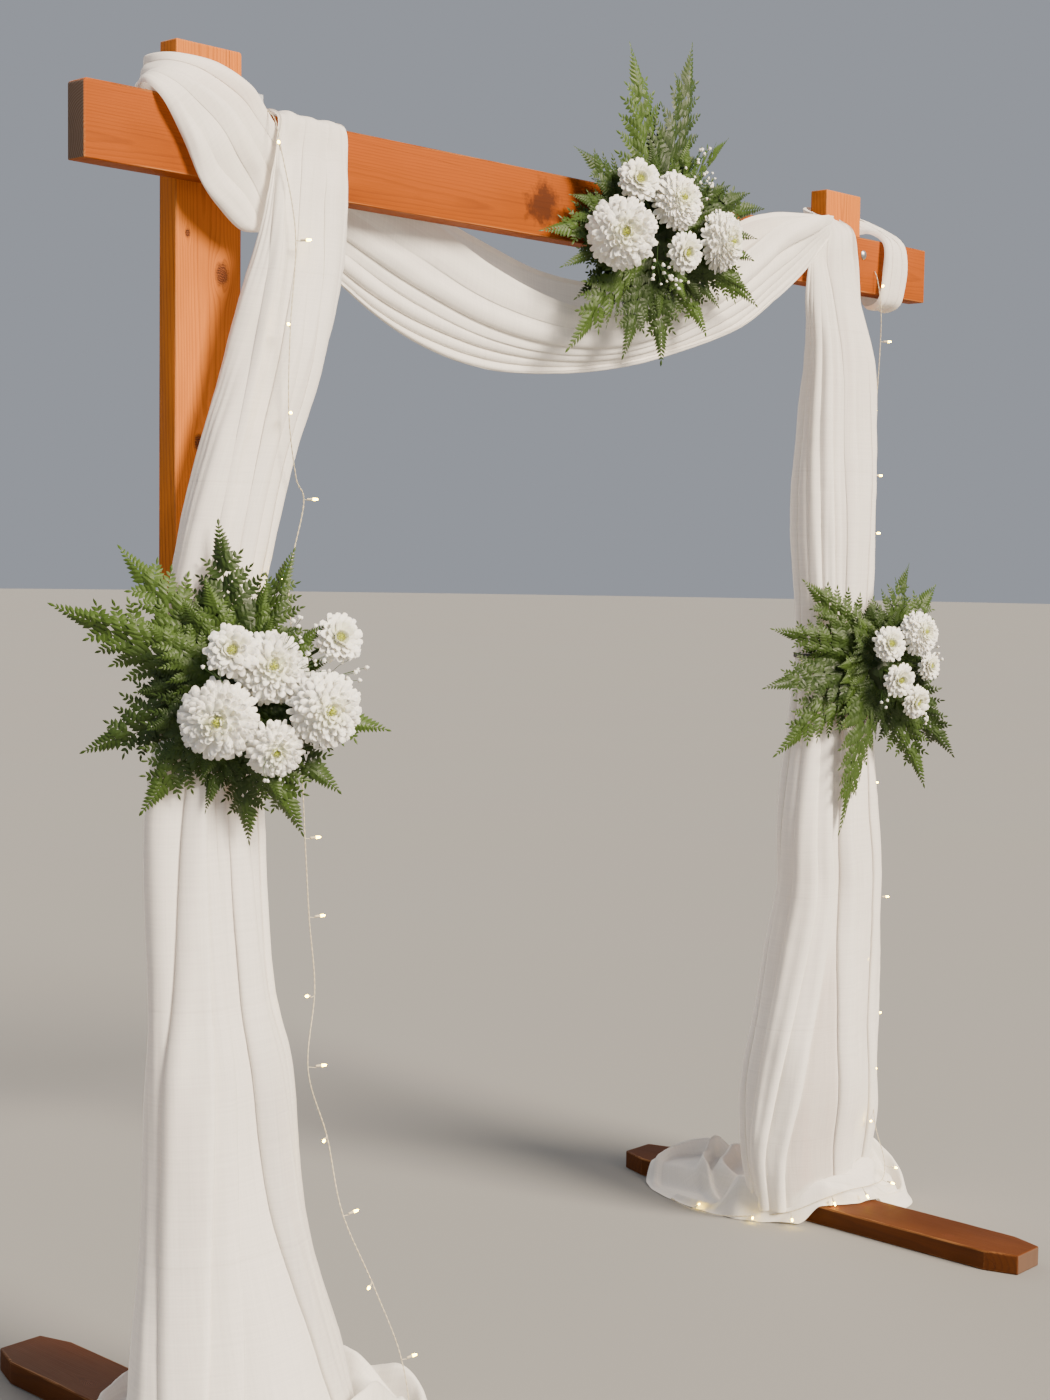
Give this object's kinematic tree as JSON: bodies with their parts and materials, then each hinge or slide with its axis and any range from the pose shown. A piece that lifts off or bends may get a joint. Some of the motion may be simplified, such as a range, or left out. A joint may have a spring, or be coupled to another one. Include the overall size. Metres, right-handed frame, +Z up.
{
  "type": "wooden ceremony arch",
  "caption": "Free-standing square timber arch with a lapped cross beam on two flat feet, dressed with a white voile drape, flower sprays and small string lights.",
  "frame": {"origin": "ground level at mid span, midway between the two feet's ends", "axes": "+Z up, X along the cross beam, -Y towards the side that the beam, drape and flowers face"},
  "size_m": [2.44, 1.13, 2.6171],
  "materials": {
    "post_timber": "oiled pine with knots, satin",
    "beam_timber": "orange stained pine, satin",
    "foot_timber": "worn red brown stained pine, matt",
    "zinc_steel": "zinc plated",
    "light_housing": "clear silver grey plastic",
    "voile": "sheer white voile",
    "tie_cord": "matt black strap",
    "fern": "waxy green fronds",
    "petals": "soft white petals with a yellow green heart",
    "light_wire": "clear insulated wire"
  },
  "bodies": {
    "root": {"left_post": "post_timber", "right_post": "post_timber", "cross_beam": "beam_timber", "left_foot": "foot_timber", "right_foot": "foot_timber", "left_bolt_1": "zinc_steel", "left_bolt_2": "zinc_steel", "right_bolt_1": "zinc_steel", "right_bolt_2": "zinc_steel", "light_connector": "light_housing", "left_pool": "voile", "left_tail": "voile", "right_pool": "voile", "right_tail": "voile", "swag": "voile", "left_wrap": "voile", "right_wrap": "voile", "left_tie": "tie_cord", "right_tie": "tie_cord", "top_tie": "tie_cord", "left_fern_bed": "fern", "top_fern_bed": "fern", "right_fern_bed": "fern", "left_bloom_1": "petals", "left_bloom_2": "petals", "left_bloom_3": "petals", "left_bloom_4": "petals", "left_bloom_5": "petals", "left_bloom_6": "petals", "top_bloom_1": "petals", "top_bloom_2": "petals", "top_bloom_3": "petals", "top_bloom_4": "petals", "top_bloom_5": "petals", "right_bloom_1": "petals", "right_bloom_2": "petals", "right_bloom_3": "petals", "right_bloom_4": "petals", "right_bloom_5": "petals", "left_light_string": "light_wire", "left_string_cap": "light_wire", "right_light_string": "light_wire", "right_string_cap": "light_wire"}
  },
  "joints": []
}
